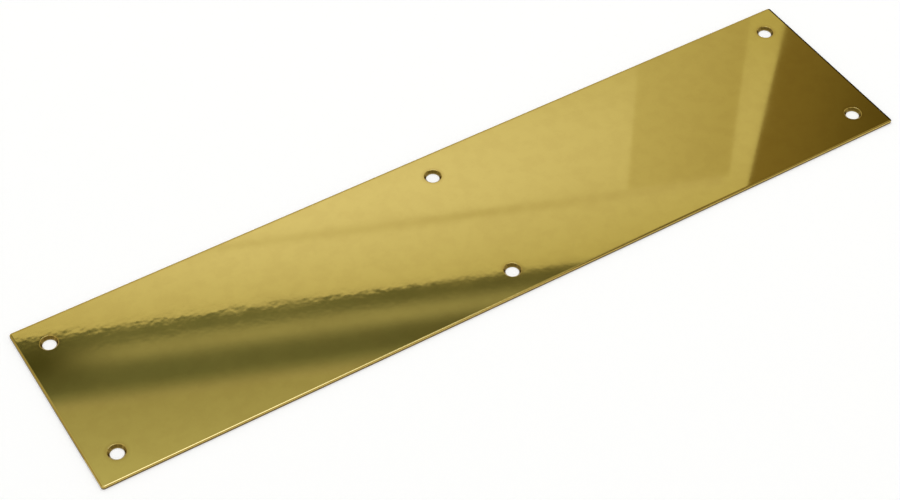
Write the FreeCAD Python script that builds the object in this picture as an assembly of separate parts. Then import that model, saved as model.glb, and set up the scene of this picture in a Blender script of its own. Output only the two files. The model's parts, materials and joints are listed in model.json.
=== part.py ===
import FreeCAD, Part
import math
import os

# A door finger plate: one flat rectangle of sheet brass, polished on its face and edges,
# that is fixed to a door by countersunk screws through a row of holes along each long side.
# Sizes are in millimetres. The back face lies on z = 0 with the origin at its centre,
# X runs along the length and +Z points out of the door.

# Sheet
LENGTH = 300.0
WIDTH = 70.0
THICKNESS = 1.2
CORNER_RADIUS = 1.0  # the four sheared corners, just taken off
FACE_ARRIS_RADIUS = 0.4  # edge of the face, rounded over by polishing
BACK_ARRIS_CHAMFER = 0.1  # edge of the back, only deburred

# Screw holes
HOLES_PER_SIDE = 3
END_INSET = 9.5  # centre of an end hole to the short edge
SIDE_INSET = 10.0  # centre of each hole to the long edge
HOLE_DIAMETER = 4.5  # clears the shank of the screw
COUNTERSINK_DIAMETER = 6.0  # across the cone's mouth, before the rim is softened
COUNTERSINK_ANGLE = 90.0  # whole angle of the cone, as on the head of the screw
RIM_RADIUS = 0.3  # rim of the cone's mouth, rounded over by polishing

# A rounded arris stays inside the corner that it runs round and the sheet that it is cut from.
face_arris = min(FACE_ARRIS_RADIUS, 0.9 * CORNER_RADIUS, 0.6 * THICKNESS)

# Modelling allowances
CUTTER_OVERSHOOT = 1.0  # how far a hole's cutter stands out of the sheet at either face
SAME_HEIGHT = 1e-6  # an edge this near to a plane lies in it


def sheet_outline():
    """Rectangle with rounded corners on z = 0: two opposite halves, each a side, an arc, a side, an arc."""
    half_length = LENGTH / 2
    half_width = WIDTH / 2
    corner_x = half_length - CORNER_RADIUS
    corner_y = half_width - CORNER_RADIUS
    arc_reach = CORNER_RADIUS * math.sqrt(0.5)
    edges = []
    for side in (1, -1):
        end_start = FreeCAD.Vector(side * half_length, -side * corner_y, 0)
        end_stop = FreeCAD.Vector(side * half_length, side * corner_y, 0)
        near_arc = FreeCAD.Vector(side * (corner_x + arc_reach), side * (corner_y + arc_reach), 0)
        long_start = FreeCAD.Vector(side * corner_x, side * half_width, 0)
        long_stop = FreeCAD.Vector(-side * corner_x, side * half_width, 0)
        far_arc = FreeCAD.Vector(-side * (corner_x + arc_reach), side * (corner_y + arc_reach), 0)
        next_end = FreeCAD.Vector(-side * half_length, side * corner_y, 0)
        edges.append(Part.LineSegment(end_start, end_stop).toShape())
        edges.append(Part.Arc(end_stop, near_arc, long_start).toShape())
        edges.append(Part.LineSegment(long_start, long_stop).toShape())
        edges.append(Part.Arc(long_stop, far_arc, next_end).toShape())
    return Part.Wire(edges)


def hole_centres():
    """One row of evenly spaced holes along each long side."""
    first_x = END_INSET - LENGTH / 2
    pitch = (LENGTH - 2 * END_INSET) / (HOLES_PER_SIDE - 1)
    row_y = WIDTH / 2 - SIDE_INSET
    centres = []
    for y in (-row_y, row_y):
        for number in range(HOLES_PER_SIDE):
            centres.append(FreeCAD.Vector(first_x + number * pitch, y, 0))
    return centres


def hole_cutter():
    """Turned tool on the Z axis: a drill for the shank, below a cone for the screw's head."""
    hole_radius = HOLE_DIAMETER / 2
    mouth_radius = COUNTERSINK_DIAMETER / 2
    slope = math.tan(math.radians(COUNTERSINK_ANGLE / 2))
    cone_foot = THICKNESS - (mouth_radius - hole_radius) / slope
    bottom = min(cone_foot, 0) - CUTTER_OVERSHOOT
    top = THICKNESS + CUTTER_OVERSHOOT
    profile = Part.makePolygon([
        FreeCAD.Vector(0, 0, bottom),
        FreeCAD.Vector(hole_radius, 0, bottom),
        FreeCAD.Vector(hole_radius, 0, cone_foot),
        FreeCAD.Vector(mouth_radius + CUTTER_OVERSHOOT * slope, 0, top),
        FreeCAD.Vector(0, 0, top),
        FreeCAD.Vector(0, 0, bottom),
    ])
    return Part.Face(profile).revolve(FreeCAD.Vector(0, 0, 0), FreeCAD.Vector(0, 0, 1), 360)


def edges_at(solid, height, closed):
    """Edges in the plane z = height: the holes' rims are closed ones, the outline's are not."""
    found = []
    for edge in solid.Edges:
        box = edge.BoundBox
        level = max(abs(box.ZMin - height), abs(box.ZMax - height)) < SAME_HEIGHT
        if level and edge.isClosed() == closed:
            found.append(edge)
    return found


def finger_plate():
    """Sheet cut to size, drilled and countersunk, then its rims and arrises softened."""
    plate = Part.Face(sheet_outline()).extrude(FreeCAD.Vector(0, 0, THICKNESS))
    cutters = []
    for centre in hole_centres():
        cutter = hole_cutter()
        cutter.translate(centre)
        cutters.append(cutter)
    plate = plate.cut(cutters)
    plate = plate.makeFillet(RIM_RADIUS, edges_at(plate, THICKNESS, closed=True))
    plate = plate.makeFillet(face_arris, edges_at(plate, THICKNESS, closed=False))
    return plate.makeChamfer(BACK_ARRIS_CHAMFER, edges_at(plate, 0, closed=False))


plate = finger_plate()
if len(plate.Solids) != 1 or not plate.isValid():
    raise SystemExit("the plate did not come out as one sound solid")
os.makedirs("parts", exist_ok=True)
plate.Solids[0].exportStep("parts/finger_plate.step")
size = plate.optimalBoundingBox()
print("finger_plate %.3f x %.3f x %.3f mm, %.3f cm3, %d faces" % (
    size.XLength, size.YLength, size.ZLength, plate.Volume / 1000, len(plate.Faces)))
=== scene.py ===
# %% [markdown]
# A finger plate is a flat strip of brass that keeps hands off a door's paint. This lesson dresses
# the measured model of one. The imported model is loaded first, as a fixed frame, because every size
# below is read from it or set beside it. Its box is kept.

# %% Load the measured plate
import json
import math

import bpy
from mathutils import Matrix, Quaternion, Vector


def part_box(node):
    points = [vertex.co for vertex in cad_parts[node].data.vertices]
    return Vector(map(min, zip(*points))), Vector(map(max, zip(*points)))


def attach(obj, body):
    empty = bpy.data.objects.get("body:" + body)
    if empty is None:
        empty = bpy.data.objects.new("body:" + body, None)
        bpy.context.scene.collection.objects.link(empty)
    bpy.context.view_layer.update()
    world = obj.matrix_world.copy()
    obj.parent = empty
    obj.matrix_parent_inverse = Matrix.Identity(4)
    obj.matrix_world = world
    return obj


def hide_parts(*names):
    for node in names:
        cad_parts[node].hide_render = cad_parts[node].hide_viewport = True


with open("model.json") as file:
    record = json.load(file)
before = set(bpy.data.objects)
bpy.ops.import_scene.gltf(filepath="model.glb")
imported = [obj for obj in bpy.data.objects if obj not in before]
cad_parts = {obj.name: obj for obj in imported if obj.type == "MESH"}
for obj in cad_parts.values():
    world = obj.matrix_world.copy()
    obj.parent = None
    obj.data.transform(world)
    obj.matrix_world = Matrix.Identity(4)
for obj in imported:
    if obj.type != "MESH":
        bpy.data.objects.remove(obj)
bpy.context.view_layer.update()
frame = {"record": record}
MM = 0.001

plate_low, plate_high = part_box("finger_plate")
length, width, thickness = (high - low for low, high in zip(plate_low, plate_high))
print("plate %.1f x %.1f x %.2f mm" % (length / MM, width / MM, thickness / MM))

# %% [markdown]
# The camera stands in front of the plate's left end and looks down on it at a little over
# forty-five degrees. It could be dragged into place by hand, but a place and a target in
# millimetres can be read against a ruler and set again. A long lens keeps the edges almost
# parallel, as a product photographer would have it.

# %% Camera at the photograph's angle
CAMERA_PLACE = Vector((-245.3, -391.5, 488.4)) * MM
CAMERA_TARGET = Vector((-12.7, -7.0, 1.2)) * MM
CAMERA_ROLL = math.radians(-0.27)
LENS_MM = 81.16
SENSOR_MM = 36.0
NEAREST_SEEN = 10 * MM

camera_data = bpy.data.cameras.new("camera")
camera_data.lens = LENS_MM
camera_data.sensor_width = SENSOR_MM
camera_data.clip_start = NEAREST_SEEN
camera = bpy.data.objects.new("camera", camera_data)
bpy.context.scene.collection.objects.link(camera)
camera.location = CAMERA_PLACE
camera.rotation_mode = "QUATERNION"
look = (CAMERA_TARGET - CAMERA_PLACE).to_track_quat("-Z", "Y")
camera.rotation_quaternion = look @ Quaternion((0, 0, 1), CAMERA_ROLL)
bpy.context.scene.camera = camera
print("camera %.0f mm from its target" % ((CAMERA_TARGET - CAMERA_PLACE).length / MM))

# %% [markdown]
# Node trees make both the shape and the finish below. They could be drawn in the node editor, but a
# tree that is written out can be read and repeated. One small helper keeps that short: it adds a
# node, applies its settings, and fills its inputs with plain values or with other nodes.


# %% Helper that adds a node
def add_node(tree, kind, inputs=None, **settings):
    """Add a node; an input may be a value, a socket, or a node whose first output is used."""
    node = tree.nodes.new(kind)
    for name, value in settings.items():
        setattr(node, name, value)
    for name, value in (inputs or {}).items():
        if isinstance(value, bpy.types.Node):
            value = value.outputs[0]
        if isinstance(value, bpy.types.NodeSocket):
            tree.links.new(value, node.inputs[name])
        else:
            node.inputs[name].default_value = value
    return node


print("add_node takes a tree, a kind of node, its inputs and its settings")

# %% [markdown]
# Colours are written as the hex values that a paint program shows. Those are sRGB values, spaced to
# suit the eye, while Blender's sockets take plain amounts of light. One function turns the first
# into the second, so that no colour has to be worked out by hand.


# %% Helper that converts a colour
def linear(hex_colour):
    """sRGB hex to the linear RGBA that Blender's sockets take."""
    channels = [int(hex_colour[i:i + 2], 16) / 255 for i in (1, 3, 5)]
    return [c / 12.92 if c <= 0.04045 else ((c + 0.055) / 1.055) ** 2.4 for c in channels] + [1.0]


print("the grey #808080 is %.3f of full light" % linear("#808080")[0])

# %% [markdown]
# The plate is a shape that follows a rule: one outline, one edge profile, and one countersunk hole
# that repeats at every screw position. It could be modelled by hand with bevels and booleans, but
# a boolean leaves ragged faces that show in a mirror. Sweeping two small profiles, one round the
# outline and one round each hole, and then filling the two flat faces between them gives clean
# rounded edges and perfectly flat faces. The sizes come first: what the frame knows is read from
# it, and what the polishing mop leaves is set here.

# %% Sizes of the edges and holes
CORNER_RADIUS = 1.0 * MM
FACE_ARRIS = 0.4 * MM  # how far the mop's rounding goes down the side
MOP_REACH = 0.72 * MM  # and how far in across the face
BACK_CHAMFER = 0.1 * MM
COUNTERSINK_RADIUS = 3.0 * MM
CONE_HALF_ANGLE = math.radians(45)
RIM_ARRIS = 0.14 * MM  # how far the rim's rounding goes down the cone
RIM_REACH = 0.12 * MM  # and how far out across the face

mounts = {mount["name"]: mount for mount in frame["record"]["mounts"]}
screws = mounts["end_screws"]["dims"]
HOLE_RADIUS = screws["hole_r_mm"] * MM
SCREW_SPACING = screws["spacing_x_mm"] * MM
ROW_SPACING = screws["spacing_y_mm"] * MM
print("holes %.1f mm across, in rows %.0f mm apart" % (2 * HOLE_RADIUS / MM, ROW_SPACING / MM))

# %% [markdown]
# A Geometry Nodes tree is the workshop drawing of that rule. Each size enters it through a named
# input instead of being typed into a node, so the same tree would make a longer plate or another
# hole. It starts here, and the next cells add to it.

# %% Tree with a named input for each size
PLATE_INPUTS = {
    "Length": length,
    "Width": width,
    "Thickness": thickness,
    "Corner Radius": CORNER_RADIUS,
    "Face Arris": FACE_ARRIS,
    "Mop Reach": MOP_REACH,
    "Back Chamfer": BACK_CHAMFER,
    "Screw Spacing": SCREW_SPACING,
    "Row Spacing": ROW_SPACING,
    "Hole Radius": HOLE_RADIUS,
    "Countersink Radius": COUNTERSINK_RADIUS,
    "Cone Half Angle": CONE_HALF_ANGLE,
    "Rim Arris": RIM_ARRIS,
    "Rim Reach": RIM_REACH,
}
plate_tree = bpy.data.node_groups.new("finger_plate_rule", "GeometryNodeTree")
for name in PLATE_INPUTS:
    plate_tree.interface.new_socket(name, in_out="INPUT", socket_type="NodeSocketFloat")
plate_tree.interface.new_socket("Geometry", in_out="OUTPUT", socket_type="NodeSocketGeometry")
size = add_node(plate_tree, "NodeGroupInput").outputs
print("the tree takes", len(PLATE_INPUTS), "sizes")

# %% [markdown]
# A polishing mop is soft, so it doesn't cut a true radius: it bears harder and harder on the metal
# towards an edge and rolls it over. A Bevel modifier would give an even arc, but a Bezier curve
# whose handles lie on the two surfaces has just the mop's form, flat at first and then quickly
# round. In each profile x runs outwards and y runs down from the face.

# %% Helper for a mop-rounded corner
MOP_SQUARENESS = 0.7  # how near the handles come to the sharp corner
ROUNDING_STEPS = 18


def mop_rounding(start, corner, end):
    """Curve from start to end that leaves both towards the corner between them."""
    handles = []
    for place in (start, end):
        handle = add_node(plate_tree, "ShaderNodeMix",
                          {"Factor": MOP_SQUARENESS, "A": place, "B": corner}, data_type="VECTOR")
        handles.append(handle.outputs["Result"])
    return add_node(plate_tree, "GeometryNodeCurvePrimitiveBezierSegment",
                    {"Resolution": ROUNDING_STEPS, "Start": start, "Start Handle": handles[0],
                     "End Handle": handles[1], "End": end}, mode="POSITION")


print("each rounding is drawn in", ROUNDING_STEPS, "steps")

# %% [markdown]
# The walls of the plate and of its holes keep one section all the way round, as a planed moulding
# does, so each is a profile swept along a path. Each sweep also stores a zone number on its faces,
# which tells the material later what finish that surface has. Painting the faces by hand would do
# the same, but the numbers come along by themselves when a size changes.

# %% Helper for a swept wall
FACE_ZONE, EDGE_ZONE, CONE_ZONE, BACK_ZONE = 0.0, 1.0, 2.0, 3.0


def swept_wall(path, profile_curves, finish_zone):
    """Sweep profile curves round a path and store the zone of finish on the faces."""
    profile = add_node(plate_tree, "GeometryNodeJoinGeometry")
    for curve in profile_curves:
        plate_tree.links.new(curve.outputs[0], profile.inputs[0])
    faces = add_node(plate_tree, "GeometryNodeCurveToMesh", {"Curve": path, "Profile Curve": profile})
    return add_node(plate_tree, "GeometryNodeStoreNamedAttribute",
                    {"Geometry": faces, "Name": "finish_zone", "Value": finish_zone}, domain="FACE")


print("zones of finish: face, edge, cone and back")

# %% [markdown]
# A countersunk hole lets a screw's head lie flush: a cone for the head, a short straight land below
# it for the shank, and a rim that the mop has rolled over. A cutter and a boolean would make it, but
# a profile can be followed point by point. Its widths and depths follow from the cone's angle, so
# they are worked out in the tree and not by hand.

# %% Countersunk hole: widths and depths
cone_width = add_node(plate_tree, "ShaderNodeMath",
                      {0: size["Countersink Radius"], 1: size["Hole Radius"]}, operation="SUBTRACT")
cone_slope = add_node(plate_tree, "ShaderNodeMath", {0: size["Cone Half Angle"]}, operation="TANGENT")
cone_depth = add_node(plate_tree, "ShaderNodeMath", {0: cone_width, 1: cone_slope}, operation="DIVIDE")
cone_sine = add_node(plate_tree, "ShaderNodeMath", {0: size["Cone Half Angle"]}, operation="SINE")
cone_cosine = add_node(plate_tree, "ShaderNodeMath", {0: size["Cone Half Angle"]}, operation="COSINE")
rim_inward = add_node(plate_tree, "ShaderNodeMath",
                      {0: size["Rim Arris"], 1: cone_sine}, operation="MULTIPLY")
cone_top_x = add_node(plate_tree, "ShaderNodeMath", {0: cone_width, 1: rim_inward}, operation="SUBTRACT")
cone_top_y = add_node(plate_tree, "ShaderNodeMath",
                      {0: size["Rim Arris"], 1: cone_cosine}, operation="MULTIPLY")
rim_end_x = add_node(plate_tree, "ShaderNodeMath",
                     {0: cone_width, 1: size["Rim Reach"]}, operation="ADD")
print("cone %.2f mm wide, at %.0f degrees" % (
    (COUNTERSINK_RADIUS - HOLE_RADIUS) / MM, math.degrees(2 * CONE_HALF_ANGLE)))

# %% [markdown]
# The profile starts at the back, goes up the land and the cone, and ends on the face. One polyline
# could hold it all, but the turned wall and the rolled rim have different finishes, so the land, the
# cone and the rim are three curves that meet end to end.

# %% Countersunk hole: profile
land_foot = add_node(plate_tree, "ShaderNodeCombineXYZ", {"Y": size["Thickness"]})
cone_foot = add_node(plate_tree, "ShaderNodeCombineXYZ", {"Y": cone_depth})
cone_top = add_node(plate_tree, "ShaderNodeCombineXYZ", {"X": cone_top_x, "Y": cone_top_y})
rim_corner = add_node(plate_tree, "ShaderNodeCombineXYZ", {"X": cone_width})
rim_end = add_node(plate_tree, "ShaderNodeCombineXYZ", {"X": rim_end_x})
land = add_node(plate_tree, "GeometryNodeCurvePrimitiveLine", {"Start": land_foot, "End": cone_foot})
cone = add_node(plate_tree, "GeometryNodeCurvePrimitiveLine", {"Start": cone_foot, "End": cone_top})
rim = mop_rounding(cone_top, rim_corner, rim_end)
print("the rim is rolled over %.2f mm across the face" % (RIM_REACH / MM))

# %% [markdown]
# On the bench one drill and one countersink make every hole, so here too one hole is swept round a
# circle and then repeated on a grid with a point at each screw. Copying it by hand would leave six
# holes to change instead of one.

# %% Countersunk hole: sweep and repeat
HOLE_SIDES = 96
HOLES_PER_SIDE, ROWS = 3, 2
circle = add_node(plate_tree, "GeometryNodeCurvePrimitiveCircle",
                  {"Resolution": HOLE_SIDES, "Radius": size["Hole Radius"]}, mode="RADIUS")
upright_circle = add_node(plate_tree, "GeometryNodeSetCurveNormal", {"Curve": circle}, mode="Z_UP")
turned_wall = swept_wall(upright_circle, (land, cone), CONE_ZONE)
rolled_rim = swept_wall(upright_circle, (rim,), FACE_ZONE)
hole = add_node(plate_tree, "GeometryNodeJoinGeometry")
for piece in (turned_wall, rolled_rim):
    plate_tree.links.new(piece.outputs[0], hole.inputs[0])
screw_grid = add_node(plate_tree, "GeometryNodeMeshGrid",
                      {"Size X": size["Screw Spacing"], "Size Y": size["Row Spacing"],
                       "Vertices X": HOLES_PER_SIDE, "Vertices Y": ROWS})
holes = add_node(plate_tree, "GeometryNodeInstanceOnPoints", {"Points": screw_grid, "Instance": hole})
print(ROWS * HOLES_PER_SIDE, "holes, each with", HOLE_SIDES, "sides")

# %% [markdown]
# Seen from the front, the plate is a rectangle cut on the shears, with its four corners just taken
# off by a file. It could be drawn point by point, but a plain rectangle with a fillet says what was
# done. Its normals are set upright, so that a profile swept along it doesn't twist.

# %% Outer edge: outline
CORNER_STEPS = 10
rectangle = add_node(plate_tree, "GeometryNodeCurvePrimitiveQuadrilateral",
                     {"Width": size["Length"], "Height": size["Width"]}, mode="RECTANGLE")
outline = add_node(plate_tree, "GeometryNodeFilletCurve",
                   {"Curve": rectangle, "Count": CORNER_STEPS, "Radius": size["Corner Radius"]},
                   mode="POLY")
upright_outline = add_node(plate_tree, "GeometryNodeSetCurveNormal", {"Curve": outline}, mode="Z_UP")
print("corners rounded at %.1f mm" % (CORNER_RADIUS / MM))

# %% [markdown]
# The mop has rolled the front arris over, the side is straight as it came from the shears, and the
# back arris only lost its burr. So the profile is a rounding, a line and a short chamfer. Bevels on
# a box could come close, but they would round the front evenly, and not as the mop does.

# %% Outer edge: profile and sweep
face_rim_x = add_node(plate_tree, "ShaderNodeMath",
                      {0: size["Mop Reach"], 1: -1.0}, operation="MULTIPLY")
back_rim_x = add_node(plate_tree, "ShaderNodeMath",
                      {0: size["Back Chamfer"], 1: -1.0}, operation="MULTIPLY")
wall_foot_y = add_node(plate_tree, "ShaderNodeMath",
                       {0: size["Thickness"], 1: size["Back Chamfer"]}, operation="SUBTRACT")
face_rim = add_node(plate_tree, "ShaderNodeCombineXYZ", {"X": face_rim_x})
edge_corner = add_node(plate_tree, "ShaderNodeCombineXYZ")
wall_top = add_node(plate_tree, "ShaderNodeCombineXYZ", {"Y": size["Face Arris"]})
wall_foot = add_node(plate_tree, "ShaderNodeCombineXYZ", {"Y": wall_foot_y})
back_rim = add_node(plate_tree, "ShaderNodeCombineXYZ", {"X": back_rim_x, "Y": size["Thickness"]})
arris = mop_rounding(face_rim, edge_corner, wall_top)
side = add_node(plate_tree, "GeometryNodeCurvePrimitiveLine", {"Start": wall_top, "End": wall_foot})
chamfer = add_node(plate_tree, "GeometryNodeCurvePrimitiveLine", {"Start": wall_foot, "End": back_rim})
rolled_edge = swept_wall(upright_outline, (arris,), FACE_ZONE)
sheared_edge = swept_wall(upright_outline, (side, chamfer), EDGE_ZONE)
print("the edge is rolled over %.2f mm across the face" % (MOP_REACH / MM))

# %% [markdown]
# The swept walls hang in space with their upper rims at z = 0, because each profile was drawn down
# from the face. They are joined, lifted to the plate's own height and welded. Then each edge that has
# only one face is an open rim, and its height tells whether it borders the face or the back.

# %% Walls of the plate, and their open rims
WELD = 0.001 * MM
walls = add_node(plate_tree, "GeometryNodeJoinGeometry")
for piece in (rolled_edge, sheared_edge, holes):
    plate_tree.links.new(piece.outputs[0], walls.inputs[0])
solid_walls = add_node(plate_tree, "GeometryNodeRealizeInstances", {"Geometry": walls})
raised_up = add_node(plate_tree, "ShaderNodeCombineXYZ", {"Z": size["Thickness"]})
raised = add_node(plate_tree, "GeometryNodeTransform",
                  {"Geometry": solid_walls, "Translation": raised_up})
shell = add_node(plate_tree, "GeometryNodeMergeByDistance", {"Geometry": raised, "Distance": WELD})

face_count = add_node(plate_tree, "GeometryNodeInputMeshEdgeNeighbors")
open_edge = add_node(plate_tree, "ShaderNodeMath", {0: face_count, 1: 2.0}, operation="LESS_THAN")
position = add_node(plate_tree, "GeometryNodeInputPosition")
place = add_node(plate_tree, "ShaderNodeSeparateXYZ", {"Vector": position})
middle = add_node(plate_tree, "ShaderNodeMath", {0: size["Thickness"], 1: 2.0}, operation="DIVIDE")
is_high = add_node(plate_tree, "ShaderNodeMath",
                   {0: place.outputs["Z"], 1: middle}, operation="GREATER_THAN")
is_low = add_node(plate_tree, "ShaderNodeMath",
                  {0: place.outputs["Z"], 1: middle}, operation="LESS_THAN")
print("walls are welded within %.0f thousandths of a millimetre" % (WELD / MM * 1000))

# %% [markdown]
# The face and the back are true flats, as rolled sheet is. Each open rim is turned into curves and
# filled, so the flats meet the walls point for point, which a separate flat sheet wouldn't do.

# %% Flat faces
flats = []
for zone_number, on_half in ((FACE_ZONE, is_high), (BACK_ZONE, is_low)):
    on_side = add_node(plate_tree, "ShaderNodeMath", {0: open_edge, 1: on_half}, operation="MULTIPLY")
    rims = add_node(plate_tree, "GeometryNodeMeshToCurve", {"Mesh": shell, "Selection": on_side})
    flat = add_node(plate_tree, "GeometryNodeFillCurve", {"Curve": rims}, mode="TRIANGLES")
    flats.append(add_node(plate_tree, "GeometryNodeStoreNamedAttribute",
                          {"Geometry": flat, "Name": "finish_zone", "Value": zone_number},
                          domain="FACE"))
face = add_node(plate_tree, "GeometryNodeTransform", {"Geometry": flats[0], "Translation": raised_up})
back = add_node(plate_tree, "GeometryNodeFlipFaces", {"Mesh": flats[1]})
whole = add_node(plate_tree, "GeometryNodeJoinGeometry")
for piece in (shell, face, back):
    plate_tree.links.new(piece.outputs[0], whole.inputs[0])
welded = add_node(plate_tree, "GeometryNodeMergeByDistance", {"Geometry": whole, "Distance": WELD})
print("flats filled:", len(flats))

# %% [markdown]
# Shading smooth makes the roundings gleam without a step, but it must not spill over on to the
# flats. So the edges that lie in a flat face, and those that turn sharply, are marked as crisp. The
# tree then ends, as one that is exported should, by making its copies real and giving them their
# material.

# %% Crisp edges and the end of the tree
CREASE = math.radians(30)
LEVEL = 0.00005 * MM  # an edge this near to the height of a flat lies in it
smooth = add_node(plate_tree, "GeometryNodeSetShadeSmooth", {"Geometry": welded}, domain="FACE")
above_middle = add_node(plate_tree, "ShaderNodeMath",
                        {0: place.outputs["Z"], 1: middle}, operation="SUBTRACT")
from_middle = add_node(plate_tree, "ShaderNodeMath", {0: above_middle}, operation="ABSOLUTE")
flat_level = add_node(plate_tree, "ShaderNodeMath", {0: middle, 1: LEVEL}, operation="SUBTRACT")
in_flat = add_node(plate_tree, "ShaderNodeMath",
                   {0: from_middle, 1: flat_level}, operation="GREATER_THAN")
turn = add_node(plate_tree, "GeometryNodeInputMeshEdgeAngle")
is_crease = add_node(plate_tree, "ShaderNodeMath", {0: turn, 1: CREASE}, operation="GREATER_THAN")
is_crisp = add_node(plate_tree, "ShaderNodeMath", {0: in_flat, 1: is_crease}, operation="MAXIMUM")
crisp = add_node(plate_tree, "GeometryNodeSetShadeSmooth",
                 {"Geometry": smooth, "Selection": is_crisp, "Shade Smooth": False}, domain="EDGE")
plate_material = bpy.data.materials.new("mirror_polished_brass_sheet")
realized = add_node(plate_tree, "GeometryNodeRealizeInstances", {"Geometry": crisp})
painted = add_node(plate_tree, "GeometryNodeSetMaterial",
                   {"Geometry": realized, "Material": plate_material})
add_node(plate_tree, "NodeGroupOutput", {"Geometry": painted})
print("plate tree has", len(plate_tree.nodes), "nodes")

# %% [markdown]
# Smooth shading alone would tilt the normals where a flat face meets a rounded edge, and a mirror
# shows the slightest tilt. A Weighted Normal modifier lets the large flat faces win, which is how
# a machined edge looks. The result is then made a plain mesh, so nothing live is left on it.

# %% Make the plate a plain mesh
carrier = bpy.data.objects.new("plate_rule", bpy.data.meshes.new("plate_rule"))
bpy.context.scene.collection.objects.link(carrier)
rule = carrier.modifiers.new("rule", "NODES")
rule.node_group = plate_tree
for item in plate_tree.interface.items_tree:
    if item.in_out == "INPUT":
        rule[item.identifier] = PLATE_INPUTS[item.name]
weighted = carrier.modifiers.new("flat faces first", "WEIGHTED_NORMAL")
weighted.keep_sharp = True
depsgraph = bpy.context.evaluated_depsgraph_get()
plate_mesh = bpy.data.meshes.new_from_object(carrier.evaluated_get(depsgraph), depsgraph=depsgraph)
plate_mesh.name = "polished_plate"
bpy.data.objects.remove(carrier)
plate = bpy.data.objects.new("polished_plate", plate_mesh)
bpy.context.scene.collection.objects.link(plate)
print("polished_plate:", len(plate_mesh.vertices), "points,", len(plate_mesh.polygons), "faces")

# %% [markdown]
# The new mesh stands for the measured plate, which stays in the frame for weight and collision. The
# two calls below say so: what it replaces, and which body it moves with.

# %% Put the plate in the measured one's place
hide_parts("finger_plate")
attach(plate, "root")
print(plate.name, "rides on root")

# %% [markdown]
# Sheet brass is polished on a mop until it mirrors, and the eye sees a deep gold reflection. The side
# was only sheared and keeps a dull skin, and its dark brown is partly painted shade for the shadow
# along the foot of the edge. The cones were turned by the countersink and have gone brown since, and
# their dark brown is also partly painted shade for the dark inside of the holes. The back keeps the
# grey gold that the rolling mill left. All of it is one metal, so one material carries the four
# finishes and picks them by the zone that the tree stored on each face.
# Four materials would do too, but the stains below run over all of them.

# %% Brass: four finishes
FINISHES = (  # zone, clean colour, roughness, which relief it carries
    (FACE_ZONE, "#E8CF74", 0.026, (1, 0, 0, 1)),
    # painted shade: the side is darker than sheared brass, for the shadow along the foot of the edge
    (EDGE_ZONE, "#6B5B36", 0.35, (0, 1, 0, 1)),
    # partly painted shade: the cones are darker than turned brass, for the dark inside of the holes
    (CONE_ZONE, "#8A763C", 0.2, (0, 1, 0, 1)),
    (BACK_ZONE, "#CDB263", 0.32, (0, 0, 1, 1)),
)
plate_material.use_nodes = True
brass = plate_material.node_tree
brass.nodes.clear()
object_place = add_node(brass, "ShaderNodeTexCoord").outputs["Object"]
zone = add_node(brass, "ShaderNodeAttribute", attribute_name="finish_zone").outputs["Fac"]
zone_share = add_node(brass, "ShaderNodeMath", {0: zone, 1: BACK_ZONE}, operation="DIVIDE")
print("finishes:", len(FINISHES))

# %% [markdown]
# A colour ramp with constant steps works as a switch: the zone number goes in, and the value of that
# zone's stop comes out. Three of them give the colour, the roughness and the kind of relief. A chain
# of Mix nodes would do it too, but a ramp keeps each list in one place.

# %% Brass: a switch for each property
colour_with_painted_shade = add_node(brass, "ShaderNodeValToRGB", {"Fac": zone_share})
clean_rough = add_node(brass, "ShaderNodeValToRGB", {"Fac": zone_share})
relief_kind = add_node(brass, "ShaderNodeValToRGB", {"Fac": zone_share})
for ramp in (colour_with_painted_shade.color_ramp, clean_rough.color_ramp, relief_kind.color_ramp):
    ramp.interpolation = "CONSTANT"
    for spare_place in (0.4, 0.6):  # a new ramp has two stops, and each finish needs one
        ramp.elements.new(spare_place)
for number, (zone_value, colour, roughness, kind) in enumerate(FINISHES):
    zone_start = max((zone_value - 0.5) / BACK_ZONE, 0)  # halfway from the zone before
    values = (linear(colour), (roughness, roughness, roughness, 1), kind)
    for node, value in zip((colour_with_painted_shade, clean_rough, relief_kind), values):
        node.color_ramp.elements[number].position = zone_start
        node.color_ramp.elements[number].color = value
kinds = add_node(brass, "ShaderNodeSeparateColor", {"Color": relief_kind})
print("each switch has", len(colour_with_painted_shade.color_ramp.elements), "stops")

# %% [markdown]
# Tarnish stays where a cloth slips off, along the outline and round the holes, so the stains need to
# know how far each point lies from the nearest edge. An edge mask could be painted, but the plate is
# the same about both its centre lines, so its coordinates are folded on to one quarter, and the
# distance to the outline and to two holes is enough.

# %% Brass: distance from the nearest edge
folded = add_node(brass, "ShaderNodeVectorMath", {0: object_place}, operation="ABSOLUTE")
end_hole = add_node(brass, "ShaderNodeVectorMath",
                    {0: folded, 1: (SCREW_SPACING / 2, ROW_SPACING / 2, thickness)},
                    operation="DISTANCE")
middle_hole = add_node(brass, "ShaderNodeVectorMath",
                       {0: folded, 1: (0, ROW_SPACING / 2, thickness)}, operation="DISTANCE")
hole_distance = add_node(brass, "ShaderNodeMath",
                         {0: end_hole.outputs["Value"], 1: middle_hole.outputs["Value"]},
                         operation="MINIMUM")
from_rim = add_node(brass, "ShaderNodeMath",
                    {0: hole_distance, 1: COUNTERSINK_RADIUS}, operation="SUBTRACT")
inset = add_node(brass, "ShaderNodeVectorMath",
                 {0: (length / 2, width / 2, 0), 1: folded}, operation="SUBTRACT")
inset_parts = add_node(brass, "ShaderNodeSeparateXYZ", {"Vector": inset})
from_outline = add_node(brass, "ShaderNodeMath",
                        {0: inset_parts.outputs["X"], 1: inset_parts.outputs["Y"]},
                        operation="MINIMUM")
from_edge = add_node(brass, "ShaderNodeMath", {0: from_outline, 1: from_rim}, operation="MINIMUM")
print("no point of the face is over %.0f mm from an edge" % (width / 2 / MM))

# %% [markdown]
# The brass has started to turn: wide faint clouds, a fine mottle, and on the face a thin brown bloom
# along the outline and round the holes. A photograph of stained brass would show the same, but it
# would repeat and carry someone else's light. So each kind of mark is a noise at its real size, or
# a fall with the distance from the edge.

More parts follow.
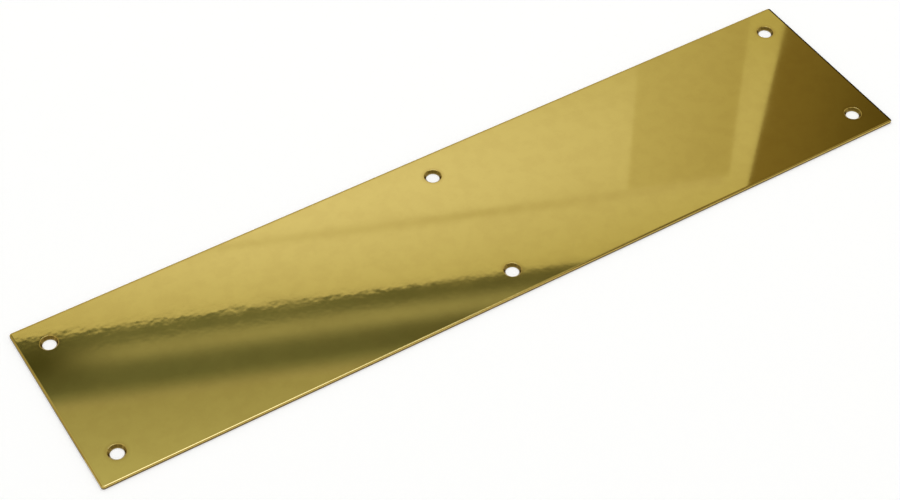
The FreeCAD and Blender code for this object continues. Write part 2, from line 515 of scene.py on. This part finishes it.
# %% Brass: marks of three kinds
CLOUD_PATCH = 28 * MM
MOTTLE_PATCH, MOTTLE_SHARE = 5 * MM, 0.07
MOTTLE_START, MOTTLE_FULL = 0.38, 0.66  # noise at which a patch begins, and is whole
BLOOM_REACH, BLOOM_SHARE = 1.5 * MM, 0.25
bloom = add_node(brass, "ShaderNodeMapRange",
                 {"Value": from_edge, "From Min": 0.0, "From Max": BLOOM_REACH,
                  "To Min": BLOOM_SHARE, "To Max": 0.0}, interpolation_type="SMOOTHSTEP")
clouds = add_node(brass, "ShaderNodeTexNoise",
                  {"Vector": object_place, "Scale": 1 / CLOUD_PATCH, "Detail": 4.0, "Roughness": 0.6})
mottle = add_node(brass, "ShaderNodeTexNoise",
                  {"Vector": object_place, "Scale": 1 / MOTTLE_PATCH, "Detail": 3.0, "Roughness": 0.6})
patches = add_node(brass, "ShaderNodeMapRange",
                   {"Value": mottle, "From Min": MOTTLE_START, "From Max": MOTTLE_FULL,
                    "To Min": 0.0, "To Max": MOTTLE_SHARE}, interpolation_type="SMOOTHSTEP")
print("clouds of %.0f mm and a mottle of %.0f mm" % (CLOUD_PATCH / MM, MOTTLE_PATCH / MM))

# %% [markdown]
# Tarnish is a thin skin, so it tints the metal more than it covers it. The shares of the three marks
# are added up and mix a brown stain into the clean colour, and the clouds also dull the polish a
# little, as a breath on a mirror does. A second shader on top would hide the reflection instead.

# %% Brass: stained colour and dulled polish
CLOUD_SHARE = 0.10
STAIN_COLOUR = "#B08A42"
HAZE_START, HAZE_FULL, HAZE_ROUGHNESS = 0.35, 0.75, 0.02
face_bloom = add_node(brass, "ShaderNodeMath",
                      {0: bloom, 1: kinds.outputs["Red"]}, operation="MULTIPLY")
clouded = add_node(brass, "ShaderNodeMath",
                   {0: clouds, 1: CLOUD_SHARE, 2: face_bloom}, operation="MULTIPLY_ADD")
stain = add_node(brass, "ShaderNodeMath", {0: clouded, 1: patches}, operation="ADD")
stained = add_node(brass, "ShaderNodeMix",
                   {"Factor": stain, "A": colour_with_painted_shade, "B": linear(STAIN_COLOUR)},
                   data_type="RGBA", blend_type="MIX")
haze = add_node(brass, "ShaderNodeMapRange",
                {"Value": clouds, "From Min": HAZE_START, "From Max": HAZE_FULL,
                 "To Min": 0.0, "To Max": HAZE_ROUGHNESS})
rough = add_node(brass, "ShaderNodeMath", {0: clean_rough, 1: haze}, operation="ADD")
print("stains take up to %.2f of the colour" % (CLOUD_SHARE + MOTTLE_SHARE + BLOOM_SHARE))

# %% [markdown]
# Rolled sheet is never quite flat: it bows gently, and it ripples like orange peel, more towards the
# left end than the right. Such ripples are a few thousandths of a millimetre high, which a mirror
# shows and a mesh would need millions of faces for. So they are height patterns for the bump node,
# in real metres.

# %% Brass: bow and ripple of the face
BOW_LENGTH, BOW_HEIGHT = 70 * MM, 0.02 * MM
RIPPLE_LENGTH, RIPPLE_HEIGHT = 2.8 * MM, 0.0045 * MM
RIPPLE_FULL_X, RIPPLE_CALM_X = -0.4 * length, 0.25 * length
CALM_SHARE = 0.1  # what is left of the ripple where the sheet is calm
bow = add_node(brass, "ShaderNodeTexNoise",
               {"Vector": object_place, "Scale": 1 / BOW_LENGTH, "Detail": 0.0})
ripple = add_node(brass, "ShaderNodeTexNoise",
                  {"Vector": object_place, "Scale": 1 / RIPPLE_LENGTH, "Detail": 1.0})
along = add_node(brass, "ShaderNodeSeparateXYZ", {"Vector": object_place})
ripple_height = add_node(brass, "ShaderNodeMapRange",
                         {"Value": along.outputs["X"],
                          "From Min": RIPPLE_FULL_X, "From Max": RIPPLE_CALM_X,
                          "To Min": RIPPLE_HEIGHT, "To Max": CALM_SHARE * RIPPLE_HEIGHT},
                         interpolation_type="SMOOTHSTEP")
print("ripples %.1f mm long and up to %.4f mm high" % (RIPPLE_LENGTH / MM, RIPPLE_HEIGHT / MM))

# %% [markdown]
# The ripple is strongest along a slanting track, where the mop dwelled. A mask could be painted for
# it, but the track is straight, so the distance from one line is enough: full height along the line,
# and a tenth of it some way off. The ripple and the bow then add up to the relief of the face.

# %% Brass: track of the mop
TRACK_START, TRACK_ANGLE = Vector((-137.0, 24.5, 0.0)) * MM, math.radians(-20.6)
TRACK_CORE, TRACK_REACH = 2 * MM, 10 * MM
from_start = add_node(brass, "ShaderNodeVectorMath",
                      {0: object_place, 1: TRACK_START}, operation="SUBTRACT")
track_normal = (-math.sin(TRACK_ANGLE), math.cos(TRACK_ANGLE), 0)
across = add_node(brass, "ShaderNodeVectorMath",
                  {0: from_start, 1: track_normal}, operation="DOT_PRODUCT")
from_track = add_node(brass, "ShaderNodeMath", {0: across.outputs["Value"]}, operation="ABSOLUTE")
on_track = add_node(brass, "ShaderNodeMapRange",
                    {"Value": from_track, "From Min": TRACK_CORE, "From Max": TRACK_REACH,
                     "To Min": 1.0, "To Max": CALM_SHARE}, interpolation_type="SMOOTHSTEP")
dwelled = add_node(brass, "ShaderNodeMath", {0: ripple_height, 1: on_track}, operation="MULTIPLY")
bowed = add_node(brass, "ShaderNodeMath", {0: bow, 1: BOW_HEIGHT}, operation="MULTIPLY")
polished = add_node(brass, "ShaderNodeMath",
                    {0: ripple, 1: dwelled, 2: bowed}, operation="MULTIPLY_ADD")
print("track %.0f mm wide, at %.1f degrees" % (2 * TRACK_REACH / MM, math.degrees(TRACK_ANGLE)))

# %% [markdown]
# Shear lines on the side and turning rings in the cones both run level, so one noise across the
# thickness serves them. Rolling lines run along the back, so there the noise is stretched along the
# length. The true lines are too fine to show, so both are drawn coarser, at the pitches below.

# %% Brass: lines of the shears, the countersink and the mill
LINE_PITCH, LINE_HEIGHT = 0.12 * MM, 0.002 * MM
ROLL_PITCH, ROLL_HEIGHT = 0.5 * MM, 0.004 * MM
ROLL_STRETCH = (0.03, 1, 1)
level_lines = add_node(brass, "ShaderNodeTexNoise",
                       {"Vector": along.outputs["Z"], "Scale": 1 / LINE_PITCH, "Detail": 2.0})
ground = add_node(brass, "ShaderNodeMath", {0: level_lines, 1: LINE_HEIGHT}, operation="MULTIPLY")
stretched = add_node(brass, "ShaderNodeMapping",
                     {"Vector": object_place, "Scale": ROLL_STRETCH}, vector_type="POINT")
roll_lines = add_node(brass, "ShaderNodeTexNoise",
                      {"Vector": stretched, "Scale": 1 / ROLL_PITCH, "Detail": 3.0})
rolled = add_node(brass, "ShaderNodeMath", {0: roll_lines, 1: ROLL_HEIGHT}, operation="MULTIPLY")
print("lines are drawn %.2f and %.1f mm apart" % (LINE_PITCH / MM, ROLL_PITCH / MM))

# %% [markdown]
# Each zone takes its own relief: the face its ripple, the side and cones their level lines, the back
# its rolling lines. The three heights are added up, each times its zone's share of red, green or
# blue, and go with the colour and the roughness into one metallic shader.

# %% Brass: the whole material
height = add_node(brass, "ShaderNodeMath",
                  {0: polished, 1: kinds.outputs["Red"]}, operation="MULTIPLY")
for finish, channel in ((ground, "Green"), (rolled, "Blue")):
    height = add_node(brass, "ShaderNodeMath",
                      {0: finish, 1: kinds.outputs[channel], 2: height}, operation="MULTIPLY_ADD")
relief = add_node(brass, "ShaderNodeBump", {"Strength": 1.0, "Distance": 1.0, "Height": height})
brass_shader = add_node(brass, "ShaderNodeBsdfPrincipled",
                        {"Base Color": stained.outputs["Result"], "Metallic": 1.0,
                         "Roughness": rough, "Normal": relief})
add_node(brass, "ShaderNodeOutputMaterial", {"Surface": brass_shader})
print("brass material has", len(brass.nodes), "nodes")

# %% [markdown]
# The plate lies on a sheet of white paper. A curved backdrop would do too, but seen from above the
# sheet fills the picture, so one large flat is enough. It lies a hair below the plate, because two
# faces in one plane spoil each other's shading. The Standard view keeps colours as they are written.

# %% White paper floor: sheet
FLOOR_GAP = 0.02 * MM
FLOOR_REACH = 6.0
bpy.context.scene.view_settings.view_transform = "Standard"
floor_corners = [(x * FLOOR_REACH, y * FLOOR_REACH, -FLOOR_GAP)
                 for x, y in ((-1, -1), (1, -1), (1, 1), (-1, 1))]
floor_mesh = bpy.data.meshes.new("floor")
floor_mesh.from_pydata(floor_corners, [], [(0, 1, 2, 3)])
floor = bpy.data.objects.new("floor", floor_mesh)
bpy.context.scene.collection.objects.link(floor)
print("floor reaches %.0f m from the plate" % FLOOR_REACH)

# %% [markdown]
# Under plain studio light such paper renders as a very light grey, and more lamps would bleach the
# brass along with it. So a little glow is added that only the camera, mirrors and glass see: the sheet
# then shows as white, keeps the plate's shadow, and puts no more light on a matt surface.

# %% White paper floor: material
FLOOR_GLOW = 0.45
PAPER_COLOUR = "#CFCFCD"
paper_material = bpy.data.materials.new("matt_white_paper")
floor_mesh.materials.append(paper_material)
paper_material.use_nodes = True
paper = paper_material.node_tree
paper.nodes.clear()
path = add_node(paper, "ShaderNodeLightPath")
seen = path.outputs["Is Camera Ray"]
for ray in ("Is Glossy Ray", "Is Transmission Ray"):
    either = add_node(paper, "ShaderNodeMath", {0: seen, 1: path.outputs[ray]}, operation="MAXIMUM")
    seen = either.outputs[0]
paper_glow = add_node(paper, "ShaderNodeMath", {0: seen, 1: FLOOR_GLOW}, operation="MULTIPLY")
paper_shader = add_node(paper, "ShaderNodeBsdfPrincipled",
                        {"Base Color": linear(PAPER_COLOUR), "Roughness": 1.0,
                         "Specular IOR Level": 0.0, "Emission Color": (1, 1, 1, 1),
                         "Emission Strength": paper_glow})
add_node(paper, "ShaderNodeOutputMaterial", {"Surface": paper_shader})
print("paper glows at %.2f where it is seen" % FLOOR_GLOW)

# %% [markdown]
# A soft box hangs high at the back and draws the thin shadow under the near edges. A mirror would
# show it as a hard white square, so it is hidden from reflections, and the sky brightens softly
# towards it instead: the closer a direction points to the lamp, the more glow is added.

# %% Sky that brightens towards the lamp
LAMP_PLACE = Vector((0.7, 1.0, 2.74))
SKY_STRENGTH, GLOW_STRENGTH, GLOW_FOCUS = 0.66, 0.45, 12.0
world = bpy.data.worlds.new("studio_sky")
bpy.context.scene.world = world
world.use_nodes = True
sky = world.node_tree
sky.nodes.clear()
direction = add_node(sky, "ShaderNodeTexCoord").outputs["Generated"]
to_lamp = add_node(sky, "ShaderNodeVectorMath",
                   {0: direction, 1: LAMP_PLACE.normalized()}, operation="DOT_PRODUCT")
facing = add_node(sky, "ShaderNodeMath", {0: to_lamp.outputs["Value"], 1: 0.0}, operation="MAXIMUM")
halo = add_node(sky, "ShaderNodeMath", {0: facing, 1: GLOW_FOCUS}, operation="POWER")
lit_sky = add_node(sky, "ShaderNodeMath",
                   {0: halo, 1: GLOW_STRENGTH, 2: SKY_STRENGTH}, operation="MULTIPLY_ADD")
background = add_node(sky, "ShaderNodeBackground", {"Color": (1, 1, 1, 1), "Strength": lit_sky})
add_node(sky, "ShaderNodeOutputWorld", {"Surface": background})
print("sky from %.2f to %.2f of white" % (SKY_STRENGTH, SKY_STRENGTH + GLOW_STRENGTH))

# %% [markdown]
# The soft box itself is an area lamp, because a large square source gives the soft-edged shadow of a
# photographer's studio, which a point or a sun wouldn't.

# %% Soft box
LAMP_SIDE = 0.8
LAMP_WATTS = 16.0
lamp_data = bpy.data.lights.new("soft_box", "AREA")
lamp_data.size = LAMP_SIDE
lamp_data.energy = LAMP_WATTS
lamp = bpy.data.objects.new("soft_box", lamp_data)
lamp.location = LAMP_PLACE
lamp.rotation_euler = LAMP_PLACE.to_track_quat("Z", "Y").to_euler()
lamp.visible_glossy = False
bpy.context.scene.collection.objects.link(lamp)
print("soft box %.1f m from the plate" % LAMP_PLACE.length)

# %% [markdown]
# A mirror shows the room, so much of the plate's look is made by what stands round it. A picture of a
# studio could light the scene, but plain flats are easier to place and to change: cards that only a
# mirror sees, each glowing in a soft pool as if a lamp lit it. A card with no second colour is a veil
# that fades to nothing round its pool.


# %% Helper for a card's glow
def card_glow(name, pool, reach, lit, unlit, strength):
    """Material that glows most in a pool; pool and reach are millimetres along the card and up it."""
    material = bpy.data.materials.new(name + "_glow")
    material.use_nodes = True
    glow = material.node_tree
    glow.nodes.clear()
    spot = add_node(glow, "ShaderNodeTexCoord").outputs["Object"]
    pooled = add_node(glow, "ShaderNodeVectorMath",
                      {0: spot, 1: (pool[0] * MM, pool[1] * MM, 0)}, operation="SUBTRACT")
    scaled = add_node(glow, "ShaderNodeVectorMath",
                      {0: pooled, 1: (1 / (reach[0] * MM), 1 / (reach[1] * MM), 0)},
                      operation="MULTIPLY")
    squared = add_node(glow, "ShaderNodeVectorMath", {0: scaled, 1: scaled}, operation="DOT_PRODUCT")
    falling = add_node(glow, "ShaderNodeMath",
                       {0: 1 / math.e, 1: squared.outputs["Value"]}, operation="POWER")
    light = add_node(glow, "ShaderNodeEmission", {"Color": linear(lit), "Strength": strength})
    surface = light
    if unlit:
        shade = add_node(glow, "ShaderNodeMix",
                         {"Factor": falling, "A": linear(unlit), "B": linear(lit)}, data_type="RGBA")
        glow.links.new(shade.outputs["Result"], light.inputs["Color"])
    else:
        clear = add_node(glow, "ShaderNodeBsdfTransparent")
        surface = add_node(glow, "ShaderNodeMixShader", {0: falling, 1: clear, 2: light})
    add_node(glow, "ShaderNodeOutputMaterial", {"Surface": surface})
    return material


print("a card's glow falls to %.2f of its pool at the pool's reach" % (1 / math.e))

# %% [markdown]
# A flat stands on the floor at a bearing, turned to face the plate, as a photographer would wheel it
# in. Its corners are measured along the wall and up it. One with no bearing lies level overhead. The
# camera and the paper don't see any of them, so they change nothing but the reflections.

# %% Helper that stands up a flat
FLATS_DISTANCE = 1500 * MM


def studio_flat(name, bearing, corners, pool, reach, lit, unlit=None, proud=0.0, strength=1.0,
                distance=FLATS_DISTANCE):
    """Card at a bearing in degrees from +Y; corners, pool, reach and proud are in millimetres."""
    mesh = bpy.data.meshes.new(name)
    mesh.from_pydata([(u * MM, h * MM, proud * MM) for u, h in corners], [], [range(len(corners))])
    mesh.materials.append(card_glow(name, pool, reach, lit, unlit, strength))
    card = bpy.data.objects.new(name, mesh)
    bpy.context.scene.collection.objects.link(card)
    if bearing is None:
        card.location.z = distance
    else:
        turn_to_plate = Matrix.Rotation(-math.radians(bearing), 4, "Z")
        stand_up = Matrix.Rotation(math.radians(90), 4, "X")
        card.matrix_world = turn_to_plate @ Matrix.Translation((0, distance, 0)) @ stand_up
    card.visible_camera = False
    card.visible_diffuse = False
    card.visible_shadow = False


def upright(left, right, bottom, top):
    """Corners of a rectangular card."""
    return ((left, bottom), (right, bottom), (right, top), (left, top))


print("flats stand %.1f m from the plate" % FLATS_DISTANCE)

# %% [markdown]
# The wall behind the plate is what the camera sees in it. A pale board fills most of the face, with
# a thin seam and a second board on it. Above them runs a dark rail with a streak of light and a
# darker end, and above that the wall grows pale again. Heights and widths were found by following the
# line of sight from the camera, off the plate, to the wall.

# %% Back wall: boards and rail
BACK_WALL = 21
WALL_LEFT, WALL_RIGHT = -1500, 770
BOARD_FOOT, RAIL_FOOT, RAIL_HEAD, SHADE_HEAD, WALL_HEAD = 1200, 1731, 1863, 1905, 2700
studio_flat("pale_board", BACK_WALL, upright(WALL_LEFT, WALL_RIGHT, BOARD_FOOT, RAIL_FOOT),
            pool=(-27, 1491), reach=(823, 282), lit="#F1F3FB", unlit="#AFAA62")
studio_flat("board_seam", BACK_WALL, upright(-200, 660, 1560, 1632),
            pool=(360, 1596), reach=(460, 8), lit="#CBC8B8", proud=1)
studio_flat("side_board", BACK_WALL, upright(519, 669, BOARD_FOOT, 1587),
            pool=(450, 1450), reach=(240, 600), lit="#CFCDBA", unlit="#AEA77E", proud=2)
studio_flat("dark_rail", BACK_WALL, upright(WALL_LEFT, WALL_RIGHT, RAIL_FOOT, RAIL_HEAD),
            pool=(-150, 1830), reach=(420, 600), lit="#6C7363", unlit="#5B5C48")
studio_flat("rail_light", BACK_WALL, upright(-330, WALL_RIGHT, RAIL_FOOT, RAIL_HEAD),
            pool=(50, 1789), reach=(650, 22), lit="#A6A99B", proud=1)
studio_flat("rail_end", BACK_WALL, upright(-600, 0, RAIL_FOOT, RAIL_HEAD),
            pool=(-345, 1785), reach=(75, 55), lit="#4C4F38", proud=2)
studio_flat("upper_shade", BACK_WALL, upright(WALL_LEFT, WALL_RIGHT, RAIL_HEAD, SHADE_HEAD),
            pool=(0, SHADE_HEAD), reach=(3000, 26), lit="#AAAA9C", unlit="#6E7665")
studio_flat("upper_board", BACK_WALL, upright(WALL_LEFT, WALL_RIGHT, SHADE_HEAD, WALL_HEAD),
            pool=(0, 2300), reach=(3000, 330), lit="#D3DACA", unlit="#9C9B87")
print("rail %d mm high above a board of %d mm" % (RAIL_HEAD - RAIL_FOOT, RAIL_FOOT - BOARD_FOOT))

# %% [markdown]
# The rest of that wall works at the sides. A board and a post fill the wall below the pale board, so
# that the plate is a mirror in lower views too. A brown flat stands to the right and darkens the far
# end of the plate. Its slanted sides draw the slanted border across the face.

# %% Back wall: lower boards and the brown flat
studio_flat("low_board", BACK_WALL,
            ((WALL_LEFT, 0), (705, 0), (705, 1260), (-390, 1709), (WALL_LEFT, 1709)),
            pool=(0, 1300), reach=(900, 700), lit="#CDC9AE", unlit="#A8A286", proud=4)
studio_flat("low_post", BACK_WALL, upright(-650, -490, 0, 1150),
            pool=(-570, 500), reach=(400, 700), lit="#A59E80", unlit="#87805F", proud=6)
BROWN_CORNERS = ((775, 450), (1150, 450), (1150, 1400), (2500, 2400),
                 (2500, 5200), (850, 5200), (850, 2500), (690, 1760))
studio_flat("brown_flat", BACK_WALL, BROWN_CORNERS,
            pool=(700, 1450), reach=(190, 3000), lit="#82754C", unlit="#433A07", proud=3)
print("brown flat has", len(BROWN_CORNERS), "corners")

# %% [markdown]
# A polished edge is a thin curved mirror, so it draws a line of whatever lies high up. A bright cool
# strip, like a window in a roof, gives the near edge its white line, and a dark flag at the right
# shades the end of that line. A lamp could do it, but it would light the paper as well.

# %% Strip and flag for the near edge
STRIP_STRENGTH = 6.3
studio_flat("bright_strip", BACK_WALL, ((-450, 3480), (800, 2870), (800, 5600), (-450, 5600)),
            pool=(-100, 3400), reach=(1200, 4000), lit="#AABAFF", unlit="#828CBE", proud=4,
            strength=STRIP_STRENGTH)
studio_flat("right_flag", 95, upright(-900, 900, 1650, 3300),
            pool=(0, 2400), reach=(3000, 3000), lit="#7A745E", unlit="#5E5946", proud=60)
print("strip glows at a strength of %.1f" % STRIP_STRENGTH)

# %% [markdown]
# Seen from any other side, polished brass would only show an empty sky and look like flat paint. So
# plain walls close the room, each with a pool of light and a post in front of it, and a beam crosses
# overhead for the view from above.

# %% Room for the other views
ROOM_WALLS = (  # bearing, middle of the pool of light, right side of the post
    (84, 350, 110),
    (147, -350, 160),
    (207, 350, 160),
    (264, 350, 110),
    (321, 100, 110),
)
WALL_HALF_WIDTH, ROOM_HEIGHT, POST_LEFT = 815, 2600, -120
for number, (bearing, pool_middle, post_right) in enumerate(ROOM_WALLS, 1):
    studio_flat("room_wall_%d" % number, bearing,
                upright(-WALL_HALF_WIDTH, WALL_HALF_WIDTH, 0, ROOM_HEIGHT),
                pool=(pool_middle, 550), reach=(450, 600), lit="#F4F0E4", unlit="#ADA688")
    studio_flat("room_post_%d" % number, bearing, upright(POST_LEFT, post_right, 0, ROOM_HEIGHT),
                pool=(20, 600), reach=(400, 900), lit="#A59E80", unlit="#87805F", proud=2)
studio_flat("ceiling_beam", None, upright(-260, 20, -1200, 1200),
            pool=(-120, 0), reach=(400, 700), lit="#C4BDA0", unlit="#A39C7E",
            distance=ROOM_HEIGHT * MM)
print("room has", len(ROOM_WALLS), "more walls and a beam")

# %% [markdown]
# On the real plate the two short ends show as thin darker lines, and white paper alone would leave
# them pale. Their edges could be painted darker, but then they would be dark in every light. So a low
# dark lath stands close to the far end for its edge to mirror, and a paler one, too low for the face
# to see at all, does the same at the near end. Both are painted dark reflections: glowing cards that
# only mirrors see, drawing the dark lines along the two ends.

# %% Laths at the ends: painted dark reflections
LATH_DISTANCE = length / 2 + 0.3 * MM
# painted dark reflection: a dark card that only the far end's edge mirrors
studio_flat("end_shade_lath", 90, upright(-36, 35, 0, 2.5), pool=(0, 0), reach=(100, 100),
            lit="#2A2414", unlit="#1E1A10", distance=LATH_DISTANCE)
# painted dark reflection: a paler card that only the near end's edge mirrors
studio_flat("near_shade_lath", 270, upright(-22, 36, 0, 1.0), pool=(0, 0), reach=(100, 100),
            lit="#8C8468", unlit="#7A7258", distance=LATH_DISTANCE)
print("laths stand %.1f mm from the ends" % ((LATH_DISTANCE - length / 2) / MM))
